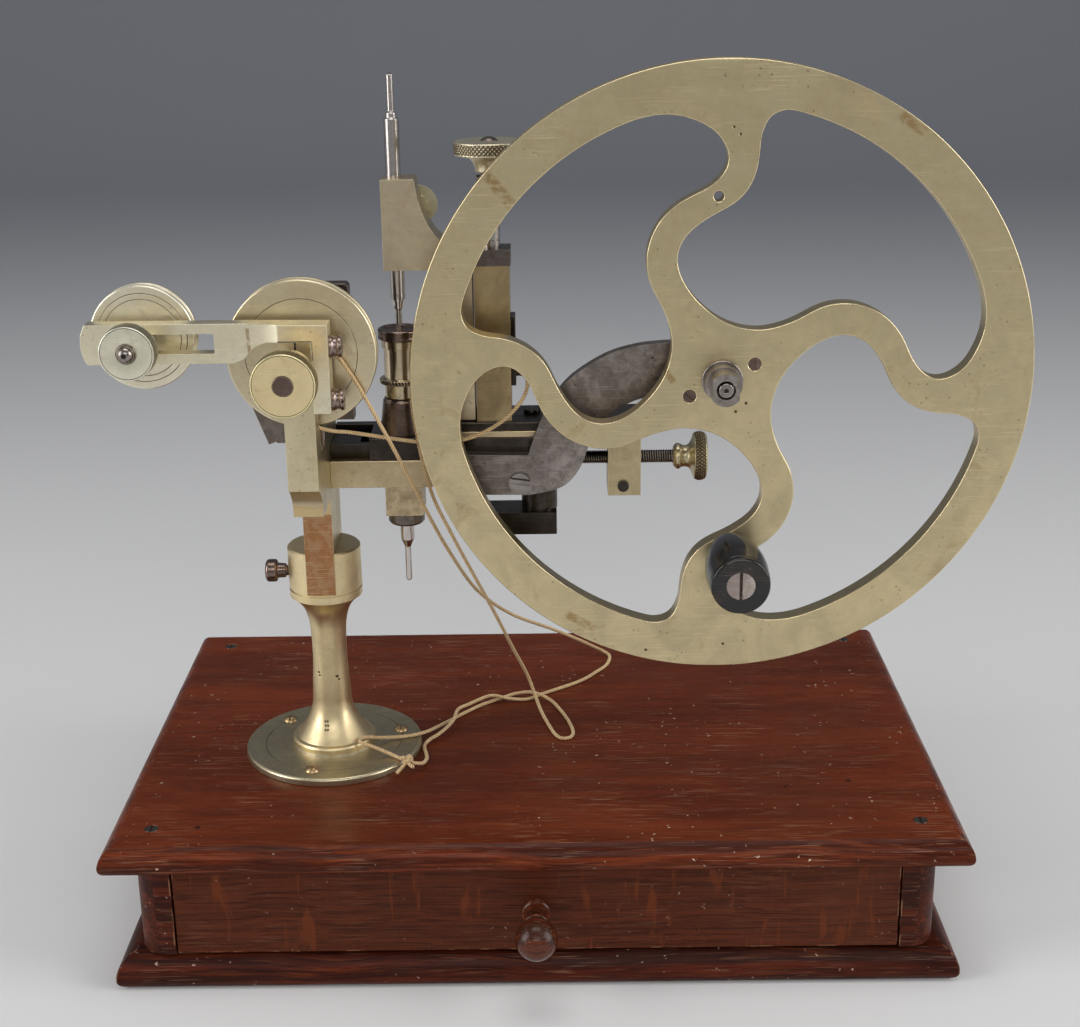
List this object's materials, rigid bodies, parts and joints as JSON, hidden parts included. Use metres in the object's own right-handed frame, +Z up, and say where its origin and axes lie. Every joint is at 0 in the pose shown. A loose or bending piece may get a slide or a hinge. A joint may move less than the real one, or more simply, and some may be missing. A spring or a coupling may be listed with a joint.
{
  "type": "wheel topping tool",
  "caption": "Hand-cranked bench tool that trims the teeth of watch wheels, with cutter spindle, screw carriage, spoked drive wheel and drawer base.",
  "frame": {"origin": "centre of the underside of the plinth, which stands on the bench", "axes": "+Z up, +X to the operator's right, +Y away from the operator; the drawer opens towards -Y"},
  "size_m": [0.3205, 0.2143, 0.312],
  "materials": {
    "mahogany": "old polished mahogany",
    "drawer_wood": "darker polished mahogany",
    "light_brass": "tarnished brass with a dull gloss",
    "nickel_brass": "greenish nickel brass",
    "gold_brass": "warm lacquered brass",
    "nickel_plate": "worn nickel plate",
    "bright_steel": "polished steel",
    "dark_steel": "darkened steel",
    "grey_steel": "dull pitted steel",
    "ebonite": "polished black ebonite",
    "twine": "straw coloured twine"
  },
  "bodies": {
    "base": {"plinth": "mahogany", "case_walls": "mahogany", "top_board": "mahogany", "board_screws": "bright_steel", "pillar_flange": "nickel_brass", "flange_screws": "nickel_brass", "pillar": "nickel_brass", "frame_leg": "light_brass", "bed_bar": "light_brass", "bed_way": "dark_steel", "bed_rail": "dark_steel", "bearing_plate": "nickel_plate", "stop_lever": "bright_steel", "idler_arm": "light_brass", "arm_fixings": "bright_steel", "carrier_arm": "grey_steel", "carrier_fixings": "bright_steel", "wheel_axle": "bright_steel", "bed_clamp": "dark_steel", "drive_cord": "twine", "cord_knot": "twine"},
    "drawer": {"drawer_front": "drawer_wood", "drawer_tray": "drawer_wood", "drawer_knob": "drawer_wood"},
    "pillar_screw": {"pillar_thumbscrew": "bright_steel"},
    "bearing_screw": {"bearing_stud": "dark_steel", "bearing_knob": "gold_brass"},
    "cutter_spindle": {"spindle": "bright_steel", "spindle_pulley": "light_brass", "cutter": "dark_steel"},
    "idler_block": {"idler_stud": "bright_steel"},
    "idler": {"idler_pulley": "light_brass"},
    "idler_clamp": {"idler_nut": "light_brass"},
    "carriage": {"carriage_base": "dark_steel", "carriage_strip": "light_brass", "carriage_plate": "dark_steel", "carriage_screws": "dark_steel", "nut_block": "light_brass", "rest_cone": "dark_steel", "post": "light_brass", "post_cap": "dark_steel", "gib_strip": "dark_steel", "lower_block": "nickel_plate", "lower_collar": "dark_steel"},
    "feed": {"feed_screw": "dark_steel", "feed_knob": "light_brass"},
    "lower_pin": {"lower_runner": "bright_steel"},
    "rest_ring": {"rest_sleeve": "light_brass"},
    "rest": {"rest_stem": "light_brass", "rest_table": "dark_steel"},
    "height": {"height_screw": "bright_steel", "height_knob": "light_brass", "height_pins": "dark_steel"},
    "runner_slide": {"runner_arm": "light_brass"},
    "runner_screw": {"runner_clamp": "gold_brass"},
    "upper_pin": {"upper_runner": "bright_steel"},
    "wheel": {"hand_wheel": "light_brass", "hub_screws": "dark_steel", "crank_screw": "bright_steel"},
    "crank": {"crank_knob": "ebonite"}
  },
  "joints": [
    {"name": "drawer_slide", "type": "slide", "parent": "base", "child": "drawer", "axis": [0, -1, 0], "range_m": [0, 0.12]},
    {"name": "pillar_screw_turn", "type": "hinge", "parent": "base", "child": "pillar_screw", "pos_m": [-0.097, -0.018, 0.1287], "axis": [1, 0, 0], "range_deg": [-180, 0]},
    {"name": "bearing_screw_turn", "type": "hinge", "parent": "base", "child": "bearing_screw", "pos_m": [-0.077, -0.07, 0.2169], "axis": [0, 1, 0], "range_deg": [-180, 0]},
    {"name": "spindle_turn", "type": "hinge", "parent": "base", "child": "cutter_spindle", "pos_m": [-0.077, -0.04, 0.2169], "axis": [0, 1, 0], "continuous": true},
    {"name": "idler_slide", "type": "slide", "parent": "base", "child": "idler_block", "axis": [1, 0, 0], "range_m": [-0.005, 0.009]},
    {"name": "idler_turn", "type": "hinge", "parent": "idler_block", "child": "idler", "pos_m": [-0.13, -0.043, 0.2233], "axis": [0, 1, 0], "continuous": true},
    {"name": "idler_clamp_turn", "type": "hinge", "parent": "idler_block", "child": "idler_clamp", "pos_m": [-0.13, -0.064, 0.2233], "axis": [0, 1, 0], "range_deg": [-180, 0]},
    {"name": "feed_turn", "type": "hinge", "parent": "base", "child": "feed", "pos_m": [0.03, -0.018, 0.171], "axis": [1, 0, 0], "range_deg": [-4055, 4055]},
    {"name": "carriage_slide", "type": "slide", "parent": "base", "child": "carriage", "axis": [1, 0, 0], "range_m": [-0.009, 0.009]},
    {"name": "lower_runner_slide", "type": "slide", "parent": "carriage", "child": "lower_pin", "axis": [0, 0, 1], "range_m": [-0.015, 0]},
    {"name": "rest_ring_turn", "type": "hinge", "parent": "carriage", "child": "rest_ring", "pos_m": [-0.046, -0.018, 0.203], "axis": [0, 0, 1], "range_deg": [-1355, 0]},
    {"name": "rest_slide", "type": "slide", "parent": "carriage", "child": "rest", "axis": [0, 0, 1], "range_m": [0, 0.003]},
    {"name": "height_turn", "type": "hinge", "parent": "carriage", "child": "height", "pos_m": [-0.01285, -0.0205, 0.253], "axis": [0, 0, 1], "range_deg": [-4325, 0]},
    {"name": "runner_arm_slide", "type": "slide", "parent": "carriage", "child": "runner_slide", "axis": [0, 0, 1], "range_m": [0, 0.012]},
    {"name": "runner_screw_turn", "type": "hinge", "parent": "runner_slide", "child": "runner_screw", "pos_m": [-0.0382, -0.008, 0.2615], "axis": [0, 1, 0], "range_deg": [0, 180]},
    {"name": "upper_runner_slide", "type": "slide", "parent": "runner_slide", "child": "upper_pin", "axis": [0, 0, 1], "range_m": [-0.0005, 0.02]},
    {"name": "wheel_turn", "type": "hinge", "parent": "base", "child": "wheel", "pos_m": [0.065, -0.0435, 0.2065], "axis": [0, 1, 0], "continuous": true},
    {"name": "crank_turn", "type": "hinge", "parent": "wheel", "child": "crank", "pos_m": [0.0695, -0.06, 0.144], "axis": [0, 1, 0], "continuous": true}
  ],
  "couplings": [
    {"joint": "feed_turn", "follows": "carriage_slide", "rad_per_m": -7854},
    {"joint": "height_turn", "follows": "runner_arm_slide", "rad_per_m": -6283.2},
    {"joint": "rest_ring_turn", "follows": "rest_slide", "rad_per_m": -7854}
  ]
}
